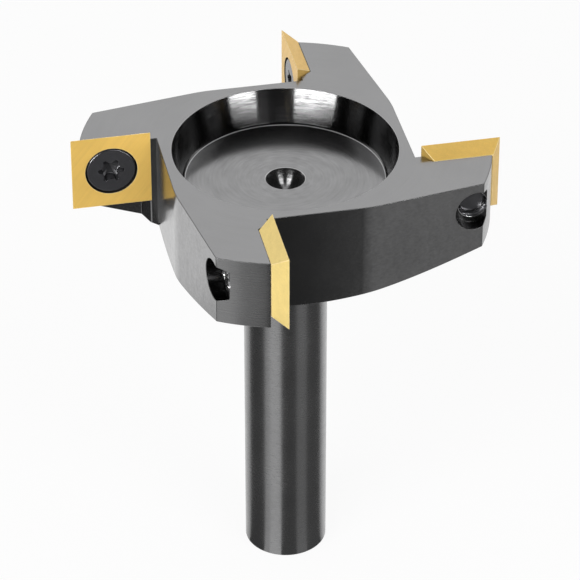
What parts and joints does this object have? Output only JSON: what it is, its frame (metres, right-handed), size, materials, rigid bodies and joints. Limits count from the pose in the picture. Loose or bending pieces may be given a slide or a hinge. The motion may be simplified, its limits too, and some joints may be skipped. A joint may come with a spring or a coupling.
{
  "type": "surfacing router bit",
  "caption": "Insert-type surfacing cutter with a recessed cutting face, screwed-on square carbide inserts and a straight shank, for planing flat boards on a router.",
  "frame": {"origin": "centre of the shank's free end", "axes": "+Z along the shank towards the cutting face, +X out along the first insert's cutting face, which cuts towards +Y"},
  "size_m": [0.0624, 0.0624, 0.074],
  "materials": {
    "body_steel": "turned and milled steel, blackened, semi-gloss",
    "insert_coating": "ground carbide with a gold-coloured titanium nitride coating",
    "screw_steel": "black-oxided steel, glossy"
  },
  "bodies": {
    "root": {"cutter_body": "body_steel", "cutting_insert_1": "insert_coating", "cutting_insert_2": "insert_coating", "cutting_insert_3": "insert_coating", "cutting_insert_4": "insert_coating", "insert_screw_1": "screw_steel", "insert_screw_2": "screw_steel", "insert_screw_3": "screw_steel", "insert_screw_4": "screw_steel"}
  },
  "joints": []
}
